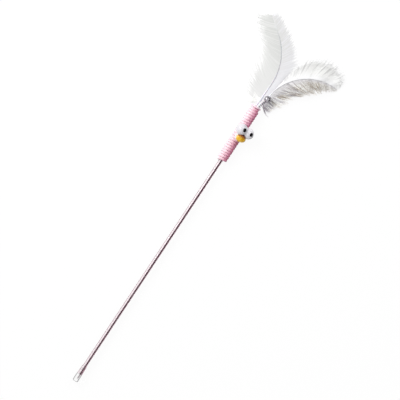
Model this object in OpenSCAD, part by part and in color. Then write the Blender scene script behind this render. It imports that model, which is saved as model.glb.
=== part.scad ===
// Cat teaser wand lying on a table: a clear rod with a pink liner, a grip wound
// with cord, a bird's face, a jingle bell on a short chain and two feathers.
// +X runs along the wand towards the feathers and +Z points up. The origin is on
// the rod's axis, where the straight part of the handle's end cap begins.

/* [Rod] */
// Outside diameter of the clear rod tube
rod_d = 5; // [4.4:0.1:6]
// Wall of the clear rod tube
tube_wall = 0.9; // [0.6:0.1:1.4]
// Length from the origin to the lower end of the winding
handle_len = 328; // [200:0.5:480]
// Gap inside the grip between the tube's end and the plug
tube_gap = 0.35; // [0.1:0.05:10]
// Distance from the tube's butt to the lower end of the pink liner
liner_inset = 0.4; // [0:0.1:60]
// Radial room between pieces that are pushed together
fit_gap = 0.05; // [0.02:0.01:0.1]

/* [End cap] */
// Wall of the end cap round the tube, at its thick end
cap_wall = 1.05; // [0.8:0.05:2]
// Wall of the end cap at its mouth
cap_lip = 0.4; // [0.3:0.05:0.6]
// Length of the end cap from the origin to its mouth
cap_len = 21.5; // [17:0.5:45]
// Length of the cap's straight part
cap_straight = 7; // [4:0.5:12]
// Depth of solid plastic before the tube starts
cap_solid = 9; // [6:0.5:14]
// Radius of the rounded butt
cap_round = 1.5; // [0.8:0.1:3]

/* [Grip] */
// Overall length of the winding
grip_len = 79.5; // [60:0.5:86]
// Diameter of the cord
cord_d = 3; // [2.6:0.1:3.1]
// Distance from one turn to the next
cord_pitch = 3.5; // [3.4:0.05:4.2]
// Wall of the sleeve under the winding
sleeve_wall = 1.35; // [1:0.05:2]
// Room between the winding and what it lies on
seat_gap = 0.1; // [0.05:0.01:0.2]

/* [Tip plug] */
// Thickness of the plug's head
head_t = 2.2; // [1.8:0.1:4]
// Length of the spigot inside the sleeve
spigot_len = 4.8; // [3:0.1:8]
// Depth of the two quill sockets
socket_depth = 8; // [4:0.1:9]
// Depth of the holes that hold the wire eye
eye_hole_depth = 1.8; // [1:0.1:1.9]

/* [Chain and bell] */
// Diameter of the wire of the eye, the links and the bell's loop
wire_d = 0.8; // [0.6:0.02:0.84]
// Radius of the wire's bends, at the middle of the wire
bend_r = 0.95; // [0.9:0.01:1.1]
// Straight length of a link's sides
link_straight = 1.7; // [1.3:0.05:3]
// Turn of the chain to the right of the wand
chain_turn = 15; // [0:1:25]
// Outside diameter of the bell
bell_d = 8.8; // [7.4:0.1:9]
// Wall of the bell
bell_wall = 0.35; // [0.25:0.01:0.6]
// Width of the bell's crossed slots
slot_w = 0.7; // [0.4:0.05:1]
// Diameter of the holes at the slots' ends
slot_hole_d = 1.5; // [1:0.05:2]
// Height and width of the seam rolled round the bell
seam_size = 0.22; // [0.1:0.01:0.3]
// Diameter of the clapper ball
clapper_d = 2.6; // [2:0.1:4]

/* [Face] */
// Distance from the winding's lower end to the middle of the eyes
face_from_grip = 47.5; // [30:0.5:55]
// Turn of the face about the wand, to the right
face_turn = 29; // [0:1:45]
// Diameter of each eyeball
eye_d = 14.8; // [13.6:0.1:17]
// Distance between the middles of the eyeballs
eye_spread = 10.8; // [9:0.1:13.6]
// Height of the middle of the eyes above the wand's axis
eye_height = 11; // [10.5:0.1:12]
// Diameter of each pupil
pupil_d = 5; // [3:0.1:6]
// Thickness of each pupil
pupil_t = 0.25; // [0.15:0.01:0.6]
// Length of the bill along the wand
bill_len = 9.4; // [7:0.1:11]
// Width of the bill
bill_w = 13.4; // [10:0.1:15]
// Thickness of the bill's upper half
bill_t = 8; // [6:0.1:9]
// Distance from the middle of the eyes to the middle of the bill
bill_drop = 10; // [9:0.1:12]
// Thickness of the pad that holds the eyes and the bill
pad_t = 0.8; // [0.4:0.05:1.4]
// Width of the pad
pad_w = 11; // [8:0.1:12]
// Distance between the middles of the pad's two round ends
pad_reach = 10; // [8:0.1:14]

/* [Flat feather] */
// Length of the flat feather from the plug to its tip
flight_len = 124; // [100:1:140]
// Length of the widest barbs on the left
flight_left_w = 29; // [20:0.5:30]
// Length of the widest barbs on the right
flight_right_w = 20; // [14:0.5:21]
// Diameter of the flat feather's quill
flight_quill_d = 1.9; // [1.4:0.1:2]
// Bend of the flat feather to the left
flight_bend = 52; // [20:1:60]
// Thickness of the vane
vane_t = 0.8; // [0.6:0.05:1]
// Height of its shaft above the table
flight_lift = 1.7; // [1.6:0.05:2.4]

/* [Fluffy feather] */
// Length of the fluffy feather from the plug to its tip
plume_len = 114; // [90:1:125]
// Width of its barbs on the right
plume_right_w = 25; // [18:0.5:30]
// Width of its barbs on the left
plume_left_w = 24; // [14:0.5:26]
// Thickness of the plume at its thickest
plume_t = 6.6; // [4:0.1:7]
// Diameter of the fluffy feather's quill
plume_quill_d = 1.6; // [1.2:0.1:1.8]
// Bend of the fluffy feather to the right
plume_bend = 76; // [40:1:85]
// Height of its shaft above the table, at its highest
plume_lift = 7.1; // [7:0.1:8]

/* [Hidden] */

$fn = 48;
// Overrun of every cut past the face that it leaves
over = 1;
// Sides of the cord, and rings in each of its turns
cord_sides = 6;
turn_rings = 24;
// Sides and rings of a quill or shaft
quill_sides = 8;
quill_rings = 8;
shaft_rings = 18;
// Stations along a feather's barbs
barb_stations = 20;

// Rod, cap and sleeve
rod_r = rod_d / 2;
bore_r = rod_r - tube_wall;
cap_r = rod_r + fit_gap + cap_wall;
mouth_r = rod_r + fit_gap + cap_lip;
sleeve_r = rod_r + fit_gap + sleeve_wall;

// Winding: its end turns lie on the rod, the others on the sleeve
grip_r = sleeve_r + seat_gap + cord_d;
cord_low_r = rod_r + seat_gap + cord_d / 2;
cord_high_r = sleeve_r + seat_gap + cord_d / 2;
cord_start = handle_len + cord_d / 2;
cord_turns = (grip_len - cord_d) / cord_pitch;
cord_climb_share = 1.1;
sleeve_start = cord_start + cord_climb_share * cord_pitch;
sleeve_end = cord_start + (cord_turns - cord_climb_share) * cord_pitch;
cord_first_angle = -120;
// The winding is flattened where it lies on the table
cord_flat = cord_d / 10;
floor_z = cord_flat - grip_r;

// Plug
head_start = handle_len + grip_len + seat_gap;
tip_x = head_start + head_t;
head_r = grip_r - seat_gap;
head_round = head_t * 0.4;
spigot_start = sleeve_end - spigot_len;
tube_end = spigot_start - tube_gap;

// Chain: the eye's crown is the first pivot
wire_r = wire_d / 2;
eye_out = 2;
eye_y = -3.4;
eye_z = 3.9;
link_step = link_straight + bend_r;
crown_x = tip_x + eye_out;
leg_fit = 0.03;

// Bell
bell_r = bell_d / 2;
bell_standoff = 0.85;
bell_x = 3 * link_step + bell_standoff + bell_r;
loop_leg = bell_standoff + bell_wall * 2;
slot_reach = bell_r * 0.6;
clapper_r = clapper_d / 2;
clapper_room = 0.05;

// Face
face_x = handle_len + face_from_grip;
eye_r = eye_d / 2;
pad_r = grip_r + seat_gap + pad_t;
pupil_lead = 6;
left_pupil_turn = 2;
right_pupil_turn = 7;
bill_height = eye_height + bill_t * 0.15;

// Feathers: sockets in the plug, [y, z]
flight_socket = [0.75, -1];
plume_socket = [-1.25, -0.7];
quill_fit = 0.03;
// Length of bare quill outside the plug, and the gap between a quill and its shaft
bare_quill = 7;
butt_gap = 0.05;
flight_quill_r = flight_quill_d / 2;
plume_quill_r = plume_quill_d / 2;
// Heights of the shafts: [share of the feather's length, share of its shaft's height]
flight_lift_shares = [[0.07, 1.7], [0.15, 1.12], [1, 1]];
plume_lift_shares = [
    [0.08, 0.58], [0.17, 0.58], [0.38, 0.97], [0.55, 1], [0.75, 0.92], [0.9, 0.51], [1, 0.18]
];
function heights(socket, lift, shares) =
    concat([[0, socket.y]], [for (row = shares) [row[0], floor_z + lift * row[1]]]);
// Path of a quill: socket, heading, straight lead, bend's length, bend, length, heights
flight_path = [flight_socket, -1, flight_len * 0.28, flight_len * 0.51, flight_bend,
    flight_len, heights(flight_socket, flight_lift, flight_lift_shares)];
plume_path = [plume_socket, -14, plume_len * 0.24, plume_len * 0.72, -plume_bend,
    plume_len, heights(plume_socket, plume_lift, plume_lift_shares)];
// Forward sweep of the barbs, which grows to its full angle over a share of the shaft
flight_sweep = 35;
plume_sweep = 38;
sweep_share = 0.2;
// Distance from the plug to a feather's first barbs
barb_start = 8.6;
// Barb lengths: [share of the feather's length, share of the widest barbs]
flight_left_shares = [
    [0.07, 0.62], [0.14, 0.86], [0.2, 1], [0.3, 0.91], [0.46, 0.87], [0.63, 0.8],
    [0.82, 0.67], [0.9, 0.64], [0.96, 0.4], [1, 0.06]
];
flight_right_shares = [
    [0.07, 0.3], [0.17, 0.75], [0.3, 0.93], [0.43, 1], [0.52, 0.84],
    [0.63, 0.74], [0.82, 0.6], [0.92, 0.5], [0.97, 0.28], [1, 0.08]
];
plume_left_shares = [
    [0.07, 0.02], [0.28, 0.03], [0.36, 0.16], [0.42, 0.4], [0.5, 0.72], [0.57, 0.88],
    [0.68, 1], [0.8, 0.95], [0.9, 0.7], [0.96, 0.38], [1, 0.1]
];
plume_right_shares = [
    [0.07, 0.56], [0.15, 0.76], [0.27, 0.98], [0.35, 1], [0.45, 0.91], [0.6, 0.71],
    [0.75, 0.5], [0.88, 0.3], [0.96, 0.15], [1, 0.06]
];
// Swell of the plume along it, as shares of half its thickness
plume_swell_shares = [
    [0.07, 0.16], [0.18, 0.18], [0.38, 0.9], [0.55, 1], [0.8, 0.95], [0.92, 0.6], [1, 0.15]
];
edge_t = 0.25;
barb_gap = 0.05;
// Down at a feather's base: how far it leans back and reaches out, its half width,
// the share of that at its ends, and half its thickness
down_back = 6;
down_across = 17;
down_half = 3;
down_end_share = 0.2;
down_half_t = 0.9;
down_start = bare_quill + butt_gap + down_half * down_end_share;

function blend(a, b, t) = a + (b - a) * t;
function clamp(t) = min(max(t, 0), 1);
function smooth(t) = let (u = clamp(t)) u * u * (3 - 2 * u);

// A closed skin over rings of an even number of points, each ring turning from
// the left to the top as seen from in front
module skin(rings) {
    count = len(rings[0]);
    last = (len(rings) - 1) * count;
    sides = [
        for (i = [0:len(rings) - 2], j = [0:count - 1])
            let (a = i * count + j, b = i * count + (j + 1) % count)
            each [[a, a + count, b], [b, a + count, b + count]]
    ];
    start_cap = [
        for (j = [0:count / 2 - 2])
            each [[j, j + 1, count - 1 - j], [j + 1, count - 2 - j, count - 1 - j]]
    ];
    end_cap = [for (f = start_cap) [last + f[2], last + f[1], last + f[0]]];
    polyhedron([for (ring = rings) each ring], concat(sides, start_cap, end_cap));
}

module along_x() rotate([0, 90, 0]) children();

// A cylinder along X from one place to another
module bar(from, to, r) translate([from, 0, 0]) along_x() cylinder(h = to - from, r = r);

// A tube along X from one place to another
module pipe(from, to, outer, inner) {
    difference() {
        bar(from, to, outer);
        bar(from - over, to + over, inner);
    }
}

// Clear cap pushed over the handle's end: straight, then tapering to its mouth
module end_cap() color([0.9, 0.92, 0.93, 0.6]) {
    difference() {
        along_x() rotate_extrude() union() {
            polygon([
                [0, -cap_round],
                [cap_r - cap_round, -cap_round],
                [cap_r - cap_round, 0],
                [cap_r, 0],
                [cap_r, cap_straight],
                [mouth_r, cap_len],
                [0, cap_len]
            ]);
            intersection() {
                translate([cap_r - cap_round, 0]) circle(r = cap_round);
                translate([0, -cap_round]) square([cap_r, cap_round]);
            }
        }
        bar(cap_solid, cap_len + over, rod_r + fit_gap);
    }
}

module rod_tube() color([0.95, 0.9, 0.92, 0.5])
    pipe(cap_solid, tube_end, rod_r, bore_r);

module rod_liner() color([0.93, 0.55, 0.68])
    bar(cap_solid + liner_inset, tube_end, bore_r - fit_gap);

module grip_sleeve() color([0.75, 0.4, 0.52])
    pipe(sleeve_start, sleeve_end, sleeve_r, rod_r + fit_gap);

// Radius of the cord's middle after a number of turns
function cord_r(turn) =
    blend(cord_low_r, cord_high_r, smooth(min(turn, cord_turns - turn)));

// The cord's middle after a number of turns
function cord_point(turn) = let (a = cord_first_angle + turn * 360)
    [cord_start + turn * cord_pitch, cord_r(turn) * cos(a), cord_r(turn) * sin(a)];

function unit(v) = v / norm(v);
function cord_way(turn) = let (d = 0.01)
    unit(cord_point(turn + d) - cord_point(turn - d));

// Ring round the cord, its points held above the table
function cord_ring(middle, way, outward) = let (across = cross(way, outward))
    [
        for (i = [0:cord_sides - 1])
            let (a = i * 360 / cord_sides)
            let (p = middle + cord_d / 2 * (cos(a) * outward + sin(a) * across))
            [p.x, p.y, max(p.z, floor_z)]
    ];

function cord_outward(turn) = let (a = cord_first_angle + turn * 360, way = cord_way(turn))
    let (out = [0, cos(a), sin(a)]) unit(out - (out * way) * way);

cord_steps = floor(cord_turns * turn_rings);

// Each end runs straight for one cord diameter
function cord_end(turn, side) =
    cord_ring(cord_point(turn) + side * cord_d * cord_way(turn), cord_way(turn),
        cord_outward(turn));

cord_rings = concat(
    [cord_end(0, -1)],
    [
        for (i = [0:cord_steps]) let (turn = i / turn_rings)
            cord_ring(cord_point(turn), cord_way(turn), cord_outward(turn))
    ],
    [cord_end(cord_steps / turn_rings, 1)]
);

// Least distance between the points of one turn and those of the next
cord_self_gap = min([
    for (i = [0:len(cord_rings) - turn_rings - 1], k = [-1:1], a = cord_rings[i])
        for (b = cord_rings[min(i + turn_rings + k, len(cord_rings) - 1)]) norm(a - b)
]);

module grip_winding() color([0.95, 0.7, 0.79]) {
    echo(winding_turns = cord_turns, least_gap_to_itself_mm = cord_self_gap);
    skin(cord_rings);
}

// Head and neck that close the grip, with sockets for the quills and the eye
module tip_plug() color([0.95, 0.72, 0.8]) {
    difference() {
        union() {
            along_x() rotate_extrude() union() {
                translate([0, head_start]) square([head_r - head_round, head_t]);
                translate([0, head_start + head_round])
                    square([head_r, head_t - 2 * head_round]);
                for (x = [head_start + head_round, tip_x - head_round])
                    translate([head_r - head_round, x]) circle(r = head_round);
            }
            bar(spigot_start, head_start + head_round, rod_r);
        }
        bar(spigot_start - over, tip_x - socket_depth - head_t, bore_r);
        for (s = [[flight_socket, flight_quill_r], [plume_socket, plume_quill_r]])
            translate([0, s[0].x, s[0].y])
                bar(tip_x - socket_depth, tip_x + over, s[1] + quill_fit);
        for (side = [-1, 1])
            translate([0, eye_y, eye_z + side * bend_r])
                bar(tip_x - eye_hole_depth, tip_x + over, wire_r + leg_fit);
    }
}

// Half of a wire ring, on the side of +Y
module half_ring() rotate_extrude(angle = 180) translate([bend_r, 0]) circle(d = wire_d);

// An open loop whose bend lies round the origin and whose legs run along +X
module loop(leg) {
    rotate(90) half_ring();
    for (side = [-1, 1]) translate([0, side * bend_r, 0]) bar(0, leg, wire_r);
}

// A closed link: its near bend lies round the origin
module link() {
    loop(link_straight);
    translate([link_straight, 0, 0]) rotate(-90) half_ring();
}

// Staple in the plug; its crown is the chain's first pivot
module wire_eye() color([0.78, 0.78, 0.8])
    translate([crown_x, eye_y, eye_z]) rotate([90, 0, 180])
        translate([bend_r, 0, 0]) loop(eye_out - bend_r + eye_hole_depth);

// Frame of the chain: its origin is the first pivot
module on_chain() translate([crown_x, eye_y, eye_z]) rotate(-chain_turn) children();

module chain_link(index) color([0.78, 0.78, 0.8])
    on_chain() translate([index * link_step, 0, 0]) rotate([index % 2 * 90, 0, 0]) link();

module chain_link_1() chain_link(0);
module chain_link_2() chain_link(1);
module chain_link_3() chain_link(2);

module bell_loop() color([0.72, 0.72, 0.74])
    on_chain() translate([3 * link_step, 0, 0]) rotate([90, 0, 0]) loop(loop_leg);

// Frame of the bell: its origin is the bell's middle, the loop is at -X
module on_bell() on_chain() translate([bell_x, 0, 0]) children();

// Half of the bell's shell, to one side of its middle
module half_shell(side) {
    difference() {
        sphere(bell_r);
        sphere(bell_r - bell_wall);
        translate([side < 0 ? bell_r + over : -bell_r - over, 0, 0])
            cube(2 * (bell_r + over), center = true);
    }
}

module bell_crown() color([0.75, 0.75, 0.77]) on_bell() {
    difference() {
        union() {
            half_shell(-1);
            pipe(-2 * seam_size, 0, bell_r + seam_size, bell_r - bell_wall);
        }
        for (side = [-1, 1])
            translate([0, 0, side * bend_r]) bar(-bell_r - over, 0, wire_r + leg_fit);
    }
}

// Lower half with crossed slots that end in round holes
module bell_petals() color([0.75, 0.75, 0.77]) on_bell() {
    difference() {
        half_shell(1);
        for (a = [45, 135]) rotate([a, 0, 0]) {
            translate([0, -slot_reach, -slot_w / 2])
                cube([bell_r + over, 2 * slot_reach, slot_w]);
            for (side = [-1, 1])
                translate([0, side * slot_reach, 0]) bar(0, bell_r + over, slot_hole_d / 2);
        }
    }
}

// Loose ball, lying at the bottom of the shell
module bell_clapper() color([0.5, 0.5, 0.52])
    on_bell() translate([0, 0, clapper_r + clapper_room + bell_wall - bell_r])
        sphere(clapper_r);

// Frame of the face: +Z points out of it and its eyes are side by side along Y
module on_face() translate([face_x, 0, 0]) rotate([face_turn, 0, 0]) children();

// Curved pad with round ends, stuck on the winding
module face_pad() color([0.93, 0.93, 0.93]) on_face() {
    intersection() {
        pipe(-bill_drop - pad_w, pad_w, pad_r, grip_r + seat_gap);
        union() {
            for (x = [-pad_reach, 0]) translate([x, 0, 0]) cylinder(h = 2 * pad_r, d = pad_w);
            translate([-pad_reach, -pad_w / 2, 0]) cube([pad_reach, pad_w, 2 * pad_r]);
        }
    }
}

// Eyeball, cut where it meets its twin and where it sits on the pad
module eyeball(side) {
    difference() {
        translate([0, side * eye_spread / 2, eye_height]) sphere(eye_r);
        translate([-eye_r - over, side > 0 ? -eye_d : 0, 0])
            cube([eye_d + 2 * over, eye_d, eye_height + eye_d]);
        bar(-eye_r - over, eye_r + over, pad_r);
    }
}

module left_eye() color([0.95, 0.94, 0.95]) on_face() eyeball(1);
module right_eye() color([0.95, 0.94, 0.95]) on_face() eyeball(-1);

// Round pupil, a thin cap on the eyeball
module pupil(side, turn) {
    translate([0, side * eye_spread / 2, eye_height]) rotate([turn, pupil_lead, 0]) {
        difference() {
            intersection() {
                sphere(eye_r + pupil_t);
                cylinder(h = eye_d, d = pupil_d);
            }
            sphere(eye_r);
        }
    }
}

module left_pupil() color([0.05, 0.05, 0.06]) on_face() pupil(1, left_pupil_turn);
module right_pupil() color([0.05, 0.05, 0.06]) on_face() pupil(-1, right_pupil_turn);

// Duck's bill: a full upper half over a flatter, shorter lower half
module bill() color([0.95, 0.68, 0.12]) on_face() {
    difference() {
        union() {
            translate([-bill_drop, 0, bill_height])
                scale([bill_len / 2, bill_w / 2, bill_t / 2]) sphere(1);
            translate([-bill_drop - bill_len * 0.1, 0, bill_height - bill_t * 0.3])
                scale([bill_len * 0.46, bill_w * 0.4, bill_t * 0.32]) sphere(1);
        }
        for (side = [-1, 1])
            translate([0, side * eye_spread / 2, eye_height]) sphere(eye_r + seat_gap);
        bar(-bill_drop - bill_len, 0, pad_r);
    }
}

// Heading of a quill's path at a distance from the plug
function heading(path, s) = path[1] + path[4] * clamp((s - path[2]) / path[3]);

// Place on a quill's path: a straight lead, a round bend, then straight again
function place(path, s) =
    let (h0 = path[1], h = heading(path, s), lead = min(s, path[2]))
    let (tail = max(s - path[2] - path[3], 0))
    let (r = path[3] / (path[4] * PI / 180))
    [
        tip_x + lead * cos(h0) + r * (sin(h) - sin(h0)) + tail * cos(h),
        path[0].x + lead * sin(h0) - r * (cos(h) - cos(h0)) + tail * sin(h),
        eased(path[6], s / path[5])
    ];

// A value eased between the rows of a table of [share, value]
function eased(table, x) = [
    for (i = [0:len(table) - 2]) if (i == len(table) - 2 || x < table[i + 1][0])
        blend(table[i][1], table[i + 1][1],
            smooth((x - table[i][0]) / (table[i + 1][0] - table[i][0])))
][0];

function forward(path, s) = let (h = heading(path, s)) [cos(h), sin(h), 0];
function leftward(path, s) = let (h = heading(path, s)) [-sin(h), cos(h), 0];

// Ring round a quill or shaft
function quill_ring(path, s, r) = [
    for (i = [0:quill_sides - 1]) let (a = i * 360 / quill_sides)
        place(path, s) + r * (cos(a) * leftward(path, s) + sin(a) * [0, 0, 1])
];

// Bare quill: straight in its socket, then along its path
module quill(path, r) {
    skin(concat(
        [
            for (x = [tip_x - socket_depth + seat_gap, tip_x]) [
                for (i = [0:quill_sides - 1]) let (a = i * 360 / quill_sides)
                    [x, path[0].x + r * cos(a), path[0].y + r * sin(a)]
            ]
        ],
        [for (i = [1:quill_rings]) quill_ring(path, i / quill_rings * bare_quill, r)]
    ));
}

// Radius of a shaft, tapering to its tip
function shaft_r(path, s, r) = blend(r, r * 0.3, s / path[5]);

module shaft(path, r) {
    start = bare_quill + butt_gap;
    skin([
        for (i = [0:shaft_rings]) let (s = blend(start, path[5], i / shaft_rings))
            quill_ring(path, s, shaft_r(path, s, r))
    ]);
}

// Shares of a barb's length at which its thickness is set
barb_shares = [0, 0.35, 0.65, 0.88, 1];

// Section through the barbs on one side of a shaft, along their sweep
function barb_ring(path, s, side, r, w, sweep, drop, swell) =
    let (base = place(path, s) + side * (shaft_r(path, s, r) + barb_gap) * leftward(path, s))
    let (slant = sweep * smooth((s - barb_start) / path[5] / sweep_share))
    let (way = side * leftward(path, s) + tan(slant) * forward(path, s))
    let (low = [for (c = barb_shares) base + c * w * way
        - [0, 0, drop * c * c + edge_t + swell * sqrt(1 - c * c)]])
    let (high = [for (c = barb_shares) base + c * w * way
        + [0, 0, edge_t + swell * sqrt(1 - c * c) - drop * c * c]])
    let (ring = concat(low, [for (i = [len(high) - 1:-1:0]) high[i]]))
    side > 0 ? ring : [for (i = [len(ring) - 1:-1:0]) ring[i]];

// Vane of the flat feather on one side; its edge rests on the table
module vane(side, w, shares) {
    skin([
        for (i = [0:barb_stations])
            let (s = blend(barb_start, flight_len, i / barb_stations))
            barb_ring(flight_path, s, side, flight_quill_r,
                w * lookup(s / flight_len, shares), flight_sweep, flight_lift - edge_t,
                vane_t / 2 - edge_t)
    ]);
}

// Soft barbs of the fluffy feather on one side
module plume_barbs(side, w, shares) {
    skin([
        for (i = [0:barb_stations])
            let (s = blend(barb_start, plume_len, i / barb_stations), share = s / plume_len)
            barb_ring(plume_path, s, side, plume_quill_r, w * lookup(share, shares),
                plume_sweep, 0, plume_t / 2 * lookup(share, plume_swell_shares))
    ]);
}

// Tuft of down that leans back from a shaft's start, a flattened spindle
module down(path, side, r) {
    outward = side * leftward(path, down_start);
    root = place(path, down_start) + (r + barb_gap) * outward;
    tip = root + down_across * outward - down_back * forward(path, down_start);
    way = unit(tip - root);
    across = [-way.y, way.x, 0];
    skin([
        for (i = [0:quill_rings])
            let (t = i / quill_rings, swell = blend(down_end_share, 1, sin(180 * t)))
            [
                for (j = [0:quill_sides - 1]) let (a = j * 360 / quill_sides)
                    blend(root, tip, t) + swell * (down_half * cos(a) * across
                        + down_half_t * sin(a) * [0, 0, 1])
            ]
    ]);
}

module flight_quill() color([0.93, 0.92, 0.88]) quill(flight_path, flight_quill_r);
module flight_shaft() color([0.93, 0.92, 0.88]) shaft(flight_path, flight_quill_r);
module flight_left_vane() color([0.95, 0.95, 0.94]) vane(1, flight_left_w, flight_left_shares);
module flight_right_vane() color([0.92, 0.92, 0.95])
    vane(-1, flight_right_w, flight_right_shares);
module flight_down() color([0.96, 0.96, 0.95]) down(flight_path, 1, flight_quill_r);

module plume_quill() color([0.9, 0.88, 0.84]) quill(plume_path, plume_quill_r);
module plume_shaft() color([0.9, 0.88, 0.84]) shaft(plume_path, plume_quill_r);
module plume_left_barbs() color([0.98, 0.98, 0.98])
    plume_barbs(1, plume_left_w, plume_left_shares);
module plume_right_barbs() color([0.82, 0.8, 0.78])
    plume_barbs(-1, plume_right_w, plume_right_shares);
module plume_down() color([0.75, 0.73, 0.73]) down(plume_path, -1, plume_quill_r);

end_cap();
rod_tube();
rod_liner();
grip_sleeve();
grip_winding();
tip_plug();
face_pad();
left_eye();
right_eye();
left_pupil();
right_pupil();
bill();
wire_eye();
chain_link_1();
chain_link_2();
chain_link_3();
bell_loop();
bell_crown();
bell_petals();
bell_clapper();
flight_quill();
flight_shaft();
flight_left_vane();
flight_right_vane();
flight_down();
plume_quill();
plume_shaft();
plume_left_barbs();
plume_right_barbs();
plume_down();
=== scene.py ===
# %% [markdown]
# # A cat teaser wand
#
# This lesson dresses a wand for playing with cats: a clear rod with a pink core, a
# grip wound with pink cord, a small duck's face, a jingle bell on a chain and two
# feathers. The construction comes from a fixed frame, whose parts are never moved.
# Here they get their finishes, and the soft parts are made anew in full.

# %% Load the frame
import math

import bpy
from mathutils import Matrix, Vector


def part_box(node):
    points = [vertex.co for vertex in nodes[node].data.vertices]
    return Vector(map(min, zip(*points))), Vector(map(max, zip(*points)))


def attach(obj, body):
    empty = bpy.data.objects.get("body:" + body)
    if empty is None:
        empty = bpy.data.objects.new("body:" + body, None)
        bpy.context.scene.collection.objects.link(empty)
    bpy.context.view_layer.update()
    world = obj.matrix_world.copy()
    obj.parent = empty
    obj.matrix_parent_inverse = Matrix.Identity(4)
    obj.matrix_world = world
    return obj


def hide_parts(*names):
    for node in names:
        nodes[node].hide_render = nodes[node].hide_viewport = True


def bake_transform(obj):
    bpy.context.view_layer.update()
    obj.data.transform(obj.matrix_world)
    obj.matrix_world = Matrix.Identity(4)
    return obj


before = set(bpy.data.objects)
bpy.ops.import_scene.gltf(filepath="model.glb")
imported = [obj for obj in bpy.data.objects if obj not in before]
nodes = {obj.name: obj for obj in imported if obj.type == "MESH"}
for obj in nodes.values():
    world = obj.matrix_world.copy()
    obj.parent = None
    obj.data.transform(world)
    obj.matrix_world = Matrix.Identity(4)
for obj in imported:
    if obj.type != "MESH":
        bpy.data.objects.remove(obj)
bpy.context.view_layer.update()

MM = 0.001

# %% [markdown]
# ## Camera and light
#
# The wand lies on a white table and is seen from straight above, turned so that
# the feathers point up and to the right. A long lens from far away keeps all of it
# at one scale, as in a catalogue picture.

# %% Camera
VIEW_WIDTH = 500 * MM
VIEW_CENTRE = Vector((273.4, -5.6, 0)) * MM
VIEW_TURN = math.radians(-56.5)
LENS = 200
SENSOR = 36


def placed(name, data):
    """Puts a camera, a lamp or a mesh into the scene as an object."""
    thing = bpy.data.objects.new(name, data)
    bpy.context.scene.collection.objects.link(thing)
    return thing


camera_data = bpy.data.cameras.new("camera")
camera_data.lens = LENS
camera_data.sensor_width = SENSOR
camera_data.clip_start = 0.1
camera_data.clip_end = 100
camera = placed("camera", camera_data)
camera_height = VIEW_WIDTH * LENS / SENSOR
camera.location = VIEW_CENTRE + Vector((0, 0, camera_height))
camera.rotation_euler = (0, 0, VIEW_TURN)
bpy.context.scene.camera = camera
bpy.context.scene.view_settings.view_transform = "Standard"
print("camera", round(camera_height, 3), "m above the wand")

# %% [markdown]
# ## Helpers for nodes
#
# Nodes are easier to read as sums than as boxes and noodles. `Value` wraps one
# socket of a node tree, so that `1 - mask * 0.5` adds the Math nodes by itself.


# %% Sums of sockets
class Value:
    """One socket of a node tree. Python's signs on it add Math nodes."""

    def __init__(self, tree_nodes, socket):
        self.nodes = tree_nodes
        self.socket = socket

    def math(self, operation, *others):
        return self.nodes.put("ShaderNodeMath", {"operation": operation}, [self, *others])

    def __add__(self, other):
        return self.math("ADD", other)

    def __sub__(self, other):
        return self.math("SUBTRACT", other)

    def __mul__(self, other):
        return self.math("MULTIPLY", other)

    def __truediv__(self, other):
        return self.math("DIVIDE", other)

    def __pow__(self, other):
        return self.math("POWER", other)

    def __rsub__(self, other):
        return self.nodes.put("ShaderNodeMath", {"operation": "SUBTRACT"}, [other, self])

    __radd__ = __add__
    __rmul__ = __mul__

    def plus(self, other):
        """Sum of two vectors."""
        return self.nodes.put("ShaderNodeVectorMath", {"operation": "ADD"}, [self, other])

    def times(self, amount):
        """Vector times a number."""
        return self.nodes.put("ShaderNodeVectorMath", {"operation": "SCALE"},
                              {"Vector": self, "Scale": amount})

    def part(self, axis):
        """X, Y or Z of a vector."""
        return self.nodes.put("ShaderNodeSeparateXYZ", {}, [self], out=axis)

    def between(self, low, high):
        """0 up to low, 1 from high on, and eased in between."""
        return self.nodes.put("ShaderNodeMapRange", {"interpolation_type": "SMOOTHSTEP"},
                              {"Value": self, "From Min": low, "From Max": high})


print("signs that add Math nodes: + - * / **")

# %% [markdown]
# Any other node comes from `Nodes.put`, with its settings first and its sockets
# after. The methods below it are short names for nodes that are needed often.


# %% One method for every node
class Nodes:
    """Adds nodes to one tree."""

    def __init__(self, tree):
        self.tree = tree

    def put(self, kind, settings=None, inputs=(), out=0):
        """Adds a node and returns its output, or the node where it has none."""
        node = self.tree.nodes.new(kind)
        for name, setting in (settings or {}).items():
            setattr(node, name, setting)
        pairs = inputs.items() if isinstance(inputs, dict) else enumerate(inputs)
        for name, value in pairs:
            self.join(node.inputs[name], value)
        return Value(self, node.outputs[out]) if len(node.outputs) else node

    def join(self, socket, value):
        if isinstance(value, Value):
            self.tree.links.new(value.socket, socket)
        else:
            socket.default_value = value

    def vector(self, x=0, y=0, z=0):
        return self.put("ShaderNodeCombineXYZ", {}, [x, y, z])

    def mix(self, factor, low, high):
        """Blends two colours."""
        return self.put("ShaderNodeMix", {"data_type": "RGBA"}, {0: factor, 6: low, 7: high},
                        out=2)

    def store(self, geometry, label, value, kind="FLOAT"):
        """Keeps a value of each point under a name."""
        return self.put("GeometryNodeStoreNamedAttribute", {"data_type": kind},
                        {"Geometry": geometry, "Name": label, "Value": value})

    def named(self, label, kind="FLOAT"):
        """Reads a value that was kept under a name."""
        return self.put("GeometryNodeInputNamedAttribute", {"data_type": kind},
                        {"Name": label})

    def noise(self, where, scale, detail=2.0):
        return self.put("ShaderNodeTexNoise", {},
                        {"Vector": where, "Scale": scale, "Detail": detail})

    def position(self):
        """Where each point of a geometry lies."""
        return self.put("GeometryNodeInputPosition")

    def move(self, geometry, place):
        """Puts each point of a geometry somewhere else."""
        return self.put("GeometryNodeSetPosition", {},
                        {"Geometry": geometry, "Position": place})

    def way(self):
        """0 at the start of a curve and 1 at its end."""
        return self.put("GeometryNodeSplineParameter", out="Factor")


print("methods of Nodes:", [name for name in vars(Nodes) if not name.startswith("_")])

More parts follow.
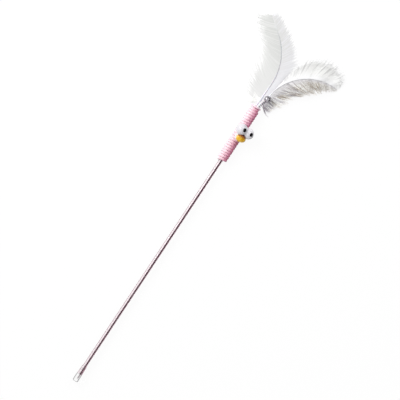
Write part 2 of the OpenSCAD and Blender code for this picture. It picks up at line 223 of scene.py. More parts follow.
# %% [markdown]
# Colours are written here as they look on a screen, from 0 to 255, while Blender
# reckons in linear light. Every material starts from its Principled shader, and a
# number that is the same all over a surface sits on that shader's own socket.


# %% Colours and new materials
def tone(red, green, blue):
    """A colour on the usual scale of 0 to 255, as Blender's linear colour."""
    shares = [c / 255 for c in (red, green, blue)]
    line = [c / 12.92 if c <= 0.04045 else ((c + 0.055) / 1.055) ** 2.4 for c in shares]
    return (*line, 1)


def principled(name, colour, **constants):
    """A new material and its shader, with what is the same all over its surface."""
    material = bpy.data.materials.new(name)
    material.use_nodes = True
    shader = material.node_tree.nodes["Principled BSDF"]
    shader.inputs["Base Color"].default_value = colour
    for label, value in constants.items():
        words = label.replace("_", " ").title().replace("Ior", "IOR")
        shader.inputs[words].default_value = value
    return material, shader


print("a grey of 128 is", round(tone(128, 128, 128)[0], 3), "as a share of white light")

# %% [markdown]
# ## Table and light
#
# The light is a studio's: a soft room, brighter on the left of the picture than on
# the right, and one large lamp on the left, so that round things are pale on the
# left and darker on the right. A weaker lamp beyond the feathers' tips fills them.
# Whatever light the room gives, it looks plain white to the eye and in reflections.

# %% Room and lamps
WHITE = (1, 1, 1, 1)
ROOM_LIGHT = 0.64
ROOM_TILT_SHARE = 0.85


def seen(tree_nodes):
    """1 for rays that the eye, a mirror or glass sends out, and 0 for light."""
    path = tree_nodes.tree.nodes.new("ShaderNodeLightPath")
    camera_ray = Value(tree_nodes, path.outputs["Is Camera Ray"])
    glossy_ray = Value(tree_nodes, path.outputs["Is Glossy Ray"])
    glass_ray = Value(tree_nodes, path.outputs["Is Transmission Ray"])
    return camera_ray.math("MAXIMUM", glossy_ray).math("MAXIMUM", glass_ray)


def white_room():
    world = bpy.data.worlds.new("room")
    world.use_nodes = True
    room = Nodes(world.node_tree)
    background = world.node_tree.nodes["Background"]
    background.inputs["Color"].default_value = WHITE
    towards_left = room.put("ShaderNodeTexCoord", out="Generated").part(1)
    light = ROOM_LIGHT * (1 + ROOM_TILT_SHARE * towards_left)
    strength = light + seen(room) * (1 - light)
    room.join(background.inputs["Strength"], strength)
    bpy.context.scene.world = world


def lamp(name, place, size, power):
    """A square lamp that shines on the wand's middle. Metres and watts."""
    light = bpy.data.lights.new(name, "AREA")
    light.shape = "SQUARE"
    light.size = size
    light.energy = power
    holder = placed(name, light)
    holder.location = VIEW_CENTRE + Vector(place)
    holder.rotation_euler = (-Vector(place)).to_track_quat("-Z", "Y").to_euler()


white_room()
lamp("key lamp", place=(0.2, 1.0, 0.9), size=0.7, power=10.5)
lamp("fill lamp", place=(1.2, -0.3, 0.8), size=0.8, power=5)
print("lit by a room and two lamps")

# %% [markdown]
# The table looks white too, but keeps a share of its own shading, which holds the
# wand's shadow. Bright metal in an all-white room looks like white paint, so two
# dark cards stand beside the bell, as a photographer would place them.

# %% Table and cards
TABLE_SHADING_SHARE = 0.07
TABLE_HALF = 6
CARD_AWAY = 0.35
CARD_HALF = 0.3
CARD_LOW = 0.04
CARD_HIGH = 0.4
floor_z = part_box("grip_winding")[0].z


def flat_sheet(name, corners, material):
    mesh = bpy.data.meshes.new(name)
    mesh.from_pydata(corners, [], [range(len(corners))])
    mesh.materials.append(material)
    sheet = placed(name, mesh)
    return sheet


def table_material():
    material, shader = principled("white table", tone(250, 250, 250), roughness=0.9)
    table = Nodes(material.node_tree)
    glow = table.put("ShaderNodeEmission", {}, {"Color": WHITE, "Strength": 1})
    look = table.put("ShaderNodeMixShader", {},
                     [seen(table) * (1 - TABLE_SHADING_SHARE),
                      Value(table, shader.outputs[0]), glow])
    output = material.node_tree.nodes["Material Output"]
    table.join(output.inputs["Surface"], look)
    return material


def dark_card(name, corners):
    """A card that only mirrors and glass see."""
    material, _ = principled(name, tone(30, 28, 32), roughness=1)
    card = flat_sheet(name, corners, material)
    card.visible_camera = False
    card.visible_diffuse = False
    card.visible_shadow = False


flat_sheet("table", [(x * TABLE_HALF, y * TABLE_HALF, floor_z)
                     for x, y in ((-1, -1), (1, -1), (1, 1), (-1, 1))], table_material())
bell_low, bell_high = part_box("bell_crown")
bell_middle = (bell_low + bell_high) / 2
card_frame = ((-1, CARD_LOW), (1, CARD_LOW), (1, CARD_HIGH), (-1, CARD_HIGH))
dark_card("right card", [(bell_middle.x + a * CARD_HALF, bell_middle.y - CARD_AWAY, z)
                         for a, z in card_frame])
dark_card("far card", [(bell_middle.x + CARD_AWAY, bell_middle.y + a * CARD_HALF, z)
                       for a, z in card_frame])
print("two cards stand on a table whose top is at", round(floor_z / MM, 2), "mm")

# %% [markdown]
# ## Finishes
#
# Each finish is one Principled shader, and on the clear pieces a second one lies over it in
# places. Only colour, roughness and bump change over a surface, and they go by the place on
# the object, or by a value that is kept at each point of a mesh, so that a pattern moves with
# its piece. The painted dark edges of the metal and of the clear cap are the exception: they
# go by the angle at which a surface is seen.


# %% Helper for finishes
class Finish:
    """A material of one Principled shader, which a second may cover in places."""

    def __init__(self, name, colour, **constants):
        self.material, self.shader = principled(name, colour, **constants)
        self.nodes = Nodes(self.material.node_tree)
        self.where = self.nodes.put("ShaderNodeTexCoord", out="Object")

    def set(self, socket, value):
        self.nodes.join(self.shader.inputs[socket], value)

    def grain(self, scale, depth, detail=2.0):
        """An uneven skin. scale is how many bumps lie on a metre."""
        skin = self.nodes.noise(self.where, scale, detail)
        self.set("Normal", self.nodes.put("ShaderNodeBump", {}, {
            "Height": skin, "Distance": depth, "Strength": 1.0}))

    def edge_on(self, low, high):
        """1 where the surface is seen edge on, and 0 where it faces the eye."""
        weight = self.nodes.put("ShaderNodeLayerWeight", {}, {"Blend": 0.5}, out="Facing")
        return weight.between(low, high)

    def cover(self, colour, amount, roughness):
        """Lays a second, opaque shader over the first where amount is more than 0."""
        tree = self.material.node_tree
        top = tree.nodes.new("ShaderNodeBsdfPrincipled")
        top.inputs["Roughness"].default_value = roughness
        self.nodes.join(top.inputs["Base Color"], colour)
        both = self.nodes.put("ShaderNodeMixShader", {},
                              [amount, Value(self.nodes, self.shader.outputs[0]),
                               Value(self.nodes, top.outputs[0])])
        self.nodes.join(tree.nodes["Material Output"].inputs["Surface"], both)

    def attribute(self, name):
        return self.nodes.put("ShaderNodeAttribute", {"attribute_name": name}, out="Fac")

    def spots(self, size, spread=0.15):
        """0 and 1 in soft spots of about the given size."""
        return self.nodes.noise(self.where, 1 / size).between(0.5 - spread, 0.5 + spread)

    def mottled(self, size, low, high):
        """Two tones in such spots."""
        self.set("Base Color", self.nodes.mix(self.spots(size), low, high))


def dress(node, finish):
    """Gives a node of the frame its finish."""
    for slot in nodes[node].material_slots:
        slot.material = finish.material


print("helpers for finishes ready")

# %% [markdown]
# ## Rod and cap
#
# The rod is a clear tube over a pink core. Seen from above, such a tube is a lens: it gathers
# the shaded side of the core into one deep mauve band on the right, with a pink fringe beyond
# it, shows a pale highlight left of the band, and draws a thin grey line along its left edge.
# The bands are finer than a picture of the whole wand can follow through glass, so this shade
# and light are painted on the tube by the angle round it: a painted mauve shade band, a
# painted pink fringe, a painted pale highlight and a painted grey shade line.

# %% Bands on clear plastic
SIDE = math.radians(100)
BAND_RIGHT = -1.85 * MM
BAND_LEFT = 0.05 * MM
LINE_INSET = 0.75 * MM
# Painted shade and painted light of the tube's lens, and how much of each covers the glass.
PAINTED_SHADE_BAND = tone(84, 52, 64)
PAINTED_SHADE_SHARE = 0.88
PAINTED_PINK_FRINGE = tone(226, 170, 190)
FRINGE_SHARE = 0.6
WAVER = 0.12
PAINTED_EDGE_SHADE = tone(160, 126, 136)
LINE_SHARE = 0.6
PAINTED_HIGHLIGHT = tone(248, 236, 240)
PAINTED_HIGHLIGHT_SHARE = 0.7


def round_rod(finish):
    """The angle round the rod: 0 on top, and less than 0 on the right."""
    return finish.where.part(1).math("ARCTAN2", finish.where.part(2))


def band(angle, low, high, soft=math.radians(4)):
    """1 between two angles, with soft edges."""
    return (angle.between(low - soft, low + soft)
            * (1 - angle.between(high - soft, high + soft)))


def bands(finish, radius):
    """Colour and amount of the painted shade and painted light that stand in for the bands a
    clear round skin shows over the core.
    """
    n = finish.nodes
    waver = n.noise(finish.where, 25, 1.0) - 0.5
    angle = round_rod(finish) + WAVER * waver
    right = math.asin(BAND_RIGHT / radius)
    left = math.asin(BAND_LEFT / radius)
    line = math.asin((radius - LINE_INSET) / radius)
    # Painted shade: the mauve band and the grey line at the left edge. Painted light: the pink
    # fringe and the pale highlight band.
    painted_shade = band(angle, right, left)
    painted_fringe = band(angle, -SIDE, right)
    painted_highlight = band(angle, left, line)
    painted_edge_line = band(angle, line, SIDE)
    colour = n.mix(painted_fringe, PAINTED_SHADE_BAND, PAINTED_PINK_FRINGE)
    colour = n.mix(painted_edge_line, colour, PAINTED_EDGE_SHADE)
    colour = n.mix(painted_highlight, colour, PAINTED_HIGHLIGHT)
    amount = (painted_shade * PAINTED_SHADE_SHARE + painted_fringe * FRINGE_SHARE + painted_edge_line * LINE_SHARE
              + painted_highlight * PAINTED_HIGHLIGHT_SHARE)
    return colour, amount


print("bands reach", round(math.degrees(SIDE)), "degrees down either side of the rod")

# %% [markdown]
# The cap shows the same painted bands where it holds the rod. Beyond the rod's end it is
# solid, and there a painted shade makes it grey where it is seen edge on, which Layer Weight
# finds; it also shows the last of the painted mauve shade band and painted dark bits along its
# right rim. The core is pale pink, with painted shade on its right.

# %% Rod and cap
CLEAR_IOR = 1.46
CLEAR_ROUGHNESS = 0.12
SCUFF_ROUGHNESS = 0.06
TUBE_R = 2.5 * MM
CAP_R = 3.6 * MM
CAP_SOLID = 9 * MM
CAP_EDGE_SHADE = tone(105, 102, 101)
CAP_EDGE_SHADE_SHARE = 0.85
LAST_SHADE_BAND = tone(112, 86, 95)
LAST_SHADE_BAND_SHARE = 0.7
LAST_SHADE_BAND_SIDES = (math.radians(-36), math.radians(-2))
CAP_RIM = math.radians(-40)
ROD_IN_CAP_SHARE = 0.8


def clear_plastic(name):
    """Clear plastic, which fine scuffs make a little dull in places."""
    finish = Finish(name, tone(252, 252, 252), transmission_weight=1, ior=CLEAR_IOR)
    scuffs = finish.nodes.noise(finish.where, 400)
    finish.set("Roughness", CLEAR_ROUGHNESS + SCUFF_ROUGHNESS * scuffs.between(0.55, 0.75))
    return finish


def clear_tube():
    finish = clear_plastic("clear tube")
    finish.cover(*bands(finish, TUBE_R), roughness=0.3)
    return finish


def clear_cap():
    finish = clear_plastic("clear cap")
    n = finish.nodes
    along = finish.where.part(0)
    angle = round_rod(finish)
    over_rod = along.between(CAP_SOLID - 0.5 * MM, CAP_SOLID + 1 * MM)
    colour, amount = bands(finish, CAP_R)
    # Painted shade: the last of the mauve band near the end, and dark bits along the right
    # rim.
    painted_last_band = band(angle, *LAST_SHADE_BAND_SIDES, soft=math.radians(8))
    painted_last_band = painted_last_band * along.between(1.5 * MM, 5 * MM)
    bits = n.noise(finish.where, 700).between(0.4, 0.6)
    painted_rim_shade = band(angle, -SIDE, CAP_RIM) * bits
    # Painted grey shade where the solid end is seen edge on, joined with the last band and the
    # rim bits.
    end_colour = n.mix(painted_last_band, CAP_EDGE_SHADE, LAST_SHADE_BAND)
    last_or_rim = (painted_last_band * LAST_SHADE_BAND_SHARE).math("MAXIMUM", painted_rim_shade * LAST_SHADE_BAND_SHARE)
    end_amount = (finish.edge_on(0.2, 0.5) * CAP_EDGE_SHADE_SHARE).math("MAXIMUM", last_or_rim)
    mixed_amount = end_amount + over_rod * (amount * ROD_IN_CAP_SHARE - end_amount)
    finish.cover(n.mix(over_rod, end_colour, colour), mixed_amount, roughness=0.25)
    return finish


def pink_core():
    finish = Finish("pink core", tone(250, 236, 241), roughness=0.4)
    n = finish.nodes
    slow = n.noise(finish.where, 60).between(0.35, 0.65)
    body = n.mix(slow, tone(248, 226, 234), tone(252, 240, 244))
    # Painted shade on the core's right side, away from the lamp.
    painted_core_shade = 1 - round_rod(finish).between(math.radians(-60), math.radians(-10))
    finish.set("Base Color", n.mix(painted_core_shade, body, tone(214, 148, 172)))
    return finish


dress("rod_tube", clear_tube())
dress("end_cap", clear_cap())
dress("rod_liner", pink_core())
print("rod, core and cap dressed")

# %% [markdown]
# ## Plug and face
#
# The plug is moulded pink plastic. The eyes are glossy white plastic with a faint mottling and
# painted shade round the bill and along one side, and the pupils are black enamel. The bill is
# amber plastic, with painted shade in the fold under the eyes, and olive along its lower edge.
# All of them have a skin so slightly uneven that it only shows where they shine.


# %% Plug and face
BILL_LOW, BILL_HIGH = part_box("bill")
BILL_MIDDLE = (BILL_LOW + BILL_HIGH) / 2
FOLD_SHADE_TONE = tone(150, 72, 2)
OLIVE_TONE = tone(180, 160, 12)
SEAM_SHADE_TONE = tone(122, 114, 110)
SKIN_SCALE = 900
SKIN_DEPTH = 0.02 * MM


def moulded(name, low, high, grain, **constants):
    """Moulded plastic: mottled a little, with a faintly uneven skin."""
    finish = Finish(name, high, **constants)
    finish.mottled(grain, low, high)
    finish.grain(SKIN_SCALE, SKIN_DEPTH)
    return finish


def amber_bill():
    """Painted shade deepens it towards the fold at its upper end, under the eyes, and it is
    olive at its lower edge.
    """
    finish = Finish("amber bill", tone(240, 170, 14), roughness=0.24, coat_weight=0.25,
                    coat_roughness=0.1)
    n = finish.nodes
    along = (finish.where.part(0) - BILL_LOW.x) / (BILL_HIGH.x - BILL_LOW.x)
    height = (finish.where.part(2) - BILL_LOW.z) / (BILL_HIGH.z - BILL_LOW.z)
    body = n.mix(finish.spots(2 * MM), tone(226, 164, 10), tone(246, 198, 22))
    # Painted shade in the fold under the eyes.
    body = n.mix(along.between(0.4, 0.9), body, FOLD_SHADE_TONE)
    finish.set("Base Color", n.mix(1 - height.between(0.2, 0.7), body, OLIVE_TONE))
    return finish


def glossy_eye(node, low, high, shade_way, shade):
    """White plastic, with painted shade in the seam round the bill and along one side."""
    finish = Finish(node, high, roughness=0.28, coat_weight=0.3)
    n = finish.nodes
    eye_low, eye_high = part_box(node)
    centre = (eye_low + eye_high) / 2
    aside = n.put("ShaderNodeVectorMath", {"operation": "DOT_PRODUCT"},
                  [finish.where, tuple(shade_way)], out="Value") - centre.dot(shade_way)
    from_bill = n.put("ShaderNodeVectorMath", {"operation": "DISTANCE"},
                      [finish.where, tuple(BILL_MIDDLE)], out="Value")
    body = n.mix(finish.spots(5 * MM), low, high)
    # Painted shade along one side of the eye: a faint grey rim on the left eye, a dark one
    # under the right eye.
    body = n.mix(aside.between(5.0 * MM, 7.0 * MM), body, shade)
    # Painted shade in the seam round the bill, under the eye.
    painted_seam_shade = 1 - from_bill.between(5.4 * MM, 7.4 * MM)
    finish.set("Base Color", n.mix(painted_seam_shade, body, SEAM_SHADE_TONE))
    finish.grain(SKIN_SCALE, SKIN_DEPTH)
    return finish


dress("tip_plug", moulded("pink plastic", tone(238, 196, 212), tone(246, 214, 226), 4 * MM,
                          roughness=0.35))
# The left eye's white is painted darker than the right eye's, to offset the lamp that falls on
# it.
dress("left_eye", glossy_eye("left_eye", tone(208, 204, 210), tone(218, 215, 221),
                             shade_way=Vector((0.4, 0.92, 0)), shade=tone(196, 196, 194)))
dress("right_eye", glossy_eye("right_eye", tone(228, 226, 231), tone(236, 234, 239),
                              shade_way=Vector((-0.3, -0.95, 0)), shade=tone(62, 58, 62)))
pupil_black = moulded("pupil black", tone(8, 6, 9), tone(18, 15, 20), 1 * MM, roughness=0.18,
                      coat_weight=0.5)
for node in ("left_pupil", "right_pupil"):
    dress(node, pupil_black)
dress("bill", amber_bill())
print("plug and face dressed")

# %% [markdown]
# ## Metal
#
# Wire, bell and ball are plated steel. Fine scratches change the roughness from place to
# place, so that the reflections are broken up as on a real bell, and the bell's thin sheet has
# shallow dents from the press. Where it is seen edge on, a painted dark reflection makes the
# metal darker.


# %% Metal
PAINTED_EDGE_REFLECTION = tone(58, 54, 60)
POLISHED = 0.1
SCRATCHED = 0.22


def plated(name, low, high, scratches, dent, dent_size):
    """Plated steel. scratches is how many lie on a metre, and dent how deep one is."""
    finish = Finish(name, high, metallic=1)
    n = finish.nodes
    body = n.mix(finish.spots(2 * MM, spread=0.2), low, high)
    # Painted dark reflection where the metal is seen edge on.
    finish.set("Base Color", n.mix(finish.edge_on(0.4, 0.9), body, PAINTED_EDGE_REFLECTION))
    fine = n.noise(finish.where, scratches, 4.0)
    finish.set("Roughness", POLISHED + SCRATCHED * fine.between(0.4, 0.7))
    finish.grain(1 / dent_size, dent, detail=1.0)
    return finish


wire = plated("bright wire", tone(118, 114, 120), tone(170, 166, 172), 3000, 0.02 * MM, 1 * MM)
for node in ("wire_eye", "chain_link_1", "chain_link_2", "chain_link_3", "bell_loop"):
    dress(node, wire)
shell = plated("bell shell", tone(138, 134, 140), tone(194, 190, 196), 1200, 0.12 * MM, 2 * MM)
for node in ("bell_crown", "bell_petals"):
    dress(node, shell)
dress("bell_clapper", plated("steel ball", tone(96, 94, 98), tone(140, 138, 142), 2000,
                             0.01 * MM, 1 * MM))
print("metal dressed")

# %% [markdown]
# ## Foam and felt
#
# Under the winding lies a foam sleeve, and the face sits on a curved felt pad. Both
# are soft, so they get meshes of their own. Each starts as a copy of the solid that
# it replaces. A voxel remesh turns that copy into an even grid, smoothing rounds its
# edges, and the finish adds pores: coarse ones for foam, fine ones for felt.


# %% Soft copies of two solids
def plain_piece(name, start):
    """Turns an object with modifiers into a plain mesh of its own."""
    bpy.context.view_layer.update()
    ready = start.evaluated_get(bpy.context.evaluated_depsgraph_get())
    mesh = bpy.data.meshes.new_from_object(ready)
    mesh.name = name
    bpy.data.objects.remove(start)
    piece = placed(name, mesh)
    mesh.calc_loop_triangles()
    print(name, len(mesh.loop_triangles), "triangles")
    return piece


def soft_copy(node, name, voxel, rounds, finish):
    """A soft piece in the shape of a solid, remeshed and rounded."""
    mesh = nodes[node].data.copy()
    mesh.materials.clear()
    mesh.materials.append(finish.material)
    start = placed(name + "_start", mesh)
    start.modifiers.new("weld", "WELD").merge_threshold = 0.001 * MM
    remesh = start.modifiers.new("remesh", "REMESH")
    remesh.mode = "VOXEL"
    remesh.voxel_size = voxel
    remesh.use_smooth_shade = True
    rounding = start.modifiers.new("rounding", "SMOOTH")
    rounding.factor = 0.5
    rounding.iterations = rounds
    piece = plain_piece(name, start)
    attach(piece, "wand")
    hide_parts(node)


def porous(name, low, high, pore, depth):
    """A rough finish with pores of one size, and as deep as it says."""
    finish = Finish(name, high, roughness=0.95)
    finish.mottled(pore, low, high)
    finish.grain(1 / pore, depth, detail=4.0)
    return finish


felt = porous("white felt", tone(226, 222, 224), tone(242, 239, 241), 0.3 * MM, 0.08 * MM)
foam = porous("dark foam", tone(120, 62, 82), tone(160, 92, 112), 0.6 * MM, 0.2 * MM)
soft_copy("face_pad", "felt_pad", 0.25 * MM, 3, felt)
soft_copy("grip_sleeve", "foam_sleeve", 0.45 * MM, 2, foam)

# %% [markdown]
# ## Trees for geometry
#
# What repeats or follows a line is made by Geometry Nodes. Every tree here starts
# with named inputs for its sizes and ends in real, dressed geometry. `grow` runs a
# tree on a small seed mesh and turns the result into a plain mesh.


# %% Helpers for geometry trees
def geometry_tree(name, sizes):
    """A tree with named inputs. sizes: name, type of socket, default value."""
    tree = bpy.data.node_groups.new(name, "GeometryNodeTree")
    face = tree.interface
    face.new_socket("Geometry", in_out="INPUT", socket_type="NodeSocketGeometry")
    face.new_socket("Geometry", in_out="OUTPUT", socket_type="NodeSocketGeometry")
    for label, kind, value in sizes:
        socket = face.new_socket(label, in_out="INPUT", socket_type=f"NodeSocket{kind}")
        if value is not None:
            socket.default_value = value
    tree_nodes = Nodes(tree)
    entry = tree.nodes.new("NodeGroupInput")
    inputs = {s.name: Value(tree_nodes, s) for s in entry.outputs if s.name}
    return tree, tree_nodes, inputs


def end_tree(tree_nodes, geometry, material, smooth=True):
    """Every tree ends the same way: shading, real geometry and its material."""
    shaded = tree_nodes.put("GeometryNodeSetShadeSmooth", {},
                            {"Geometry": geometry, "Shade Smooth": smooth})
    real = tree_nodes.put("GeometryNodeRealizeInstances", {}, {"Geometry": shaded})
    dressed = tree_nodes.put("GeometryNodeSetMaterial", {},
                             {"Geometry": real, "Material": material})
    tree_nodes.put("NodeGroupOutput", {}, [dressed])


def straight_line(n, count):
    """Points from 0 to 1 along X, which a formula then takes to their places."""
    line = n.put("GeometryNodeCurvePrimitiveLine", {}, {"End": (1, 0, 0)})
    return n.put("GeometryNodeResampleCurve", {}, {"Curve": line, "Count": count})


def swept(n, line, section, scale=1):
    """A section carried along a line, with its ends closed."""
    return n.put("GeometryNodeCurveToMesh", {}, {
        "Curve": line, "Profile Curve": section, "Scale": scale, "Fill Caps": True})


def grow(name, seed_mesh, tree, **sizes):
    """Runs a tree on a mesh and returns the result as a plain object."""
    start = placed(name + "_start", seed_mesh)
    modifier = start.modifiers.new("grow", "NODES")
    modifier.node_group = tree
    names = {s.name: s.identifier for s in tree.interface.items_tree if s.in_out == "INPUT"}
    for label, value in sizes.items():
        modifier[names[label.replace("_", " ").capitalize()]] = value
    return plain_piece(name, start)


print("helpers for geometry trees ready")

# %% [markdown]
# ## Winding
#
# The grip is one long pink cord, wound round the rod turn by turn. A cord is three
# strands laid round each other, so its section has three lobes that turn as the
# cord runs on. The helix is a straight line of points that a formula winds up.

# %% Line of the cord
winding_low, winding_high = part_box("grip_winding")
GRIP_R = winding_high.z
CORD_PITCH = 3.5 * MM
CORD_R = 3.0 * MM
CORD_LOW_R = 2.7 * MM
CORD_SEAT = 0.15 * MM
CORD_JOIN_GAP = 0.02 * MM
CORD_TURNS = 21.857
CORD_START = 329.5 * MM
CORD_FIRST_ANGLE = math.radians(-120)
LAY_PER_TURN = 2.6
STRANDS = 3
RINGS_PER_TURN = 40
SECTION_POINTS = 20


def cord_line(n, size):
    """A line of points wound into a helix, which climbs onto the sleeve at both ends."""
    turn = n.way() * size["Turns"]
    climb = turn.math("MINIMUM", size["Turns"] - turn).between(0.0, 1.0)
    radius = size["Low radius"] + climb * (size["High radius"] - size["Low radius"])
    angle = turn * math.tau + CORD_FIRST_ANGLE
    place = n.vector(turn * size["Pitch"] + CORD_START, radius * angle.math("COSINE"),
                     radius * angle.math("SINE"))
    marked = n.store(straight_line(n, size["Rings"]), "core", place, "FLOAT_VECTOR")
    marked = n.store(marked, "core_radius", radius)
    return n.put("GeometryNodeSetCurveTilt", {}, {
        "Curve": n.move(marked, place), "Tilt": turn * size["Lay per turn"] * math.tau})


print("cord:", CORD_TURNS, "turns at", CORD_PITCH / MM, "mm")

# %% [markdown]
# The cord is soft, so each turn is squeezed flat against its neighbours and against
# what it lies on: points past those limits are moved back to them. How near a point
# comes to the next turn is kept as an attribute for the finish.


# %% Section and squeeze of the cord
def cord_section(n, size):
    """A circle with one lobe for each strand."""
    circle = n.put("GeometryNodeCurvePrimitiveCircle", {},
                   {"Resolution": SECTION_POINTS, "Radius": 1})
    lobe = 1 - size["Lobe"] * (1 - (n.way() * STRANDS * math.tau).math("COSINE"))
    return n.move(circle, n.position().times(lobe * size["Cord radius"]))


def squeeze(n, size, tube):
    """Keeps the cord clear of its next turn, of what it lies on and of the table."""
    spot = n.position()
    core = n.named("core", "FLOAT_VECTOR")
    room = (size["Pitch"] - CORD_JOIN_GAP) / 2
    aside = (spot.part(0) - core.part(0)).math("MINIMUM", room).math("MAXIMUM", room * -1)
    marked = n.store(tube, "join", aside.math("ABSOLUTE") / room)
    far = (spot.part(1) ** 2 + spot.part(2) ** 2).math("SQRT")
    push = far.math("MAXIMUM", n.named("core_radius") - size["Seat"]) / far
    along = (core.part(0) + aside).math("MAXIMUM", size["Start"]).math("MINIMUM", size["End"])
    flat = n.vector(along, spot.part(1) * push,
                    (spot.part(2) * push).math("MAXIMUM", size["Floor"]))
    return n.move(marked, flat)


print("room for each turn:", round((CORD_PITCH - CORD_JOIN_GAP) / MM, 2), "mm")

# %% [markdown]
# This tree makes all its geometry by itself, so the seed mesh that it grows on is a single
# point. Its finish paints light on the cord's left, where the lamp is, and paints shade on its
# right and in the grooves there.

# %% Winding
# Where painted light and painted shade lie across the grip, and how much painted shade fills
# the grooves.
PAINTED_LIGHT_SIDE = (2.0 * MM, 7.5 * MM)
PAINTED_SHADE_SIDE = (-6.5 * MM, 3.5 * MM)
PAINTED_SHADE_EDGE = (-7.0 * MM, -3.5 * MM)
GROOVE_SHADE_SHARE = 0.05
GROOVE_SHADE_RIGHT_SHARE = 0.85


def winding_tree():
    tree, n, size = geometry_tree("wound cord", [
        ("Turns", "Float", CORD_TURNS),
        ("Rings", "Int", round(CORD_TURNS * RINGS_PER_TURN)),
        ("Pitch", "Float", CORD_PITCH),
        ("Cord radius", "Float", CORD_R),
        ("Low radius", "Float", CORD_LOW_R),
        ("High radius", "Float", GRIP_R - CORD_R),
        ("Lay per turn", "Float", LAY_PER_TURN),
        ("Lobe", "Float", 0.03),
        ("Seat", "Float", CORD_SEAT),
        ("Floor", "Float", floor_z),
        ("Start", "Float", winding_low.x),
        ("End", "Float", winding_high.x),
        ("Material", "Material", None),
    ])
    tube = swept(n, cord_line(n, size), cord_section(n, size))
    end_tree(n, squeeze(n, size, tube), size["Material"])
    return tree


def pink_cord():
    """Painted light on the left, and painted shade on the right and in the grooves there."""
    finish = Finish("pink cord", tone(242, 206, 219), roughness=0.6)
    n = finish.nodes
    aside = finish.where.part(1)
    # Painted light on the left side, and painted shade on the right side and at its far edge.
    left = aside.between(*PAINTED_LIGHT_SIDE)
    right = 1 - aside.between(*PAINTED_SHADE_SIDE)
    painted_dark_edge = 1 - aside.between(*PAINTED_SHADE_EDGE)
    # Painted shade in the grooves, mostly on the right.
    painted_groove_shade = finish.attribute("join").between(0.65, 1.0)
    skin = n.mix(finish.spots(4 * MM, spread=0.2), tone(231, 196, 206), tone(240, 215, 222))
    skin = n.mix(left, skin, tone(231, 215, 222))
    painted_groove_share = GROOVE_SHADE_SHARE + GROOVE_SHADE_RIGHT_SHARE * right
    skin = n.mix(painted_groove_shade * painted_groove_share, skin, tone(190, 112, 142))
    skin = n.mix(right, skin, tone(234, 146, 178))
    finish.set("Base Color", n.mix(painted_dark_edge, skin, tone(190, 106, 136)))
    finish.grain(2500, 0.08 * MM)
    return finish


cord_finish = pink_cord()
dot = bpy.data.meshes.new("dot")
dot.from_pydata([(0, 0, 0)], [], [])
winding = grow("winding", dot, winding_tree(), material=cord_finish.material)
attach(winding, "wand")
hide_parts("grip_winding")

# %% [markdown]
# ## Feathers
#
# A feather is a shaft with hundreds of barbs. The flat one is a flight feather,
# whose barbs hold together as a smooth vane that parts in a few places. The other
# one is a plume, whose barbs are loose and wavy. Both follow the lines of the
# quills in the frame: a straight lead, a round bend and a straight end.

# %% Lines of the two feathers
TIP_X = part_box("tip_plug")[1].x / MM
FLOOR = floor_z / MM
THINNING = 0.7


def clamp(t):
    return min(max(t, 0), 1)


def smooth(t):
    return clamp(t) ** 2 * (3 - 2 * clamp(t))


def between_rows(table, x, ease):
    """Looks x up in a table of [share, value], between two rows."""
    for low, high in zip(table, table[1:]):
        if x < high[0]:
            break
    return low[1] + (high[1] - low[1]) * ease((x - low[0]) / (high[0] - low[0]))


class Feather:
    """The line of one feather, in millimetres: all lengths run from the plug."""

    def __init__(self, socket, radius, heading, length, lead_share, bend_share, bend,
                 lift, lift_shares):
        self.socket = socket
        self.radius = radius
        self.start = math.radians(heading)
        self.length = length
        self.lead = length * lead_share
        self.bend_len = length * bend_share
        self.bend = math.radians(bend)
        self.heights = [(0, socket[1])] + [(x, FLOOR + lift * y) for x, y in lift_shares]

    def heading(self, s):
        return self.start + self.bend * clamp((s - self.lead) / self.bend_len)

    def ahead(self, s):
        return Vector((math.cos(self.heading(s)), math.sin(self.heading(s)), 0))

    def left(self, s):
        return Vector((-math.sin(self.heading(s)), math.cos(self.heading(s)), 0))

    def place(self, s):
        """The middle of the shaft. Inside the plug it runs straight along the socket."""
        if s < 0:
            return Vector((TIP_X + s, *self.socket))
        h0, h = self.start, self.heading(s)
        lead = min(s, self.lead)
        tail = max(s - self.lead - self.bend_len, 0)
        r = self.bend_len / self.bend
        x = TIP_X + lead * math.cos(h0) + r * (math.sin(h) - math.sin(h0)) + tail * math.cos(h)
        y = self.socket[0] + lead * math.sin(h0) - r * (math.cos(h) - math.cos(h0))
        z = between_rows(self.heights, s / self.length, smooth)
        return Vector((x, y + tail * math.sin(h), z))

    def thick(self, s):
        """Radius of the shaft, which tapers to its tip."""
        return self.radius * (1 - THINNING * clamp(s / self.length))


flight = Feather(socket=(0.75, -1), radius=0.95, heading=-1, length=124, lead_share=0.28,
                 bend_share=0.51, bend=52, lift=1.7,
                 lift_shares=[(0.07, 1.7), (0.15, 1.12), (1, 1)])
plume = Feather(socket=(-1.25, -0.7), radius=0.8, heading=-14, length=114, lead_share=0.24,
                bend_share=0.72, bend=-76, lift=7.1,
                lift_shares=[(0.08, 0.58), (0.17, 0.58), (0.38, 0.97), (0.55, 1),
                             (0.75, 0.92), (0.9, 0.51), (1, 0.18)])
for feather in (flight, plume):
    print("tip at", [round(v) for v in feather.place(feather.length)])

# %% [markdown]
# A quill is bare horn inside the plug and for a few millimetres outside it. Beyond that it is
# called the shaft and carries barbs. Both are swept along the feather's line, with the radius
# of each place as an attribute that scales the section. On the real wand the bare quill is the
# spring on which a feather sways; here it is left where it is, and the shaft rides with the
# feather.


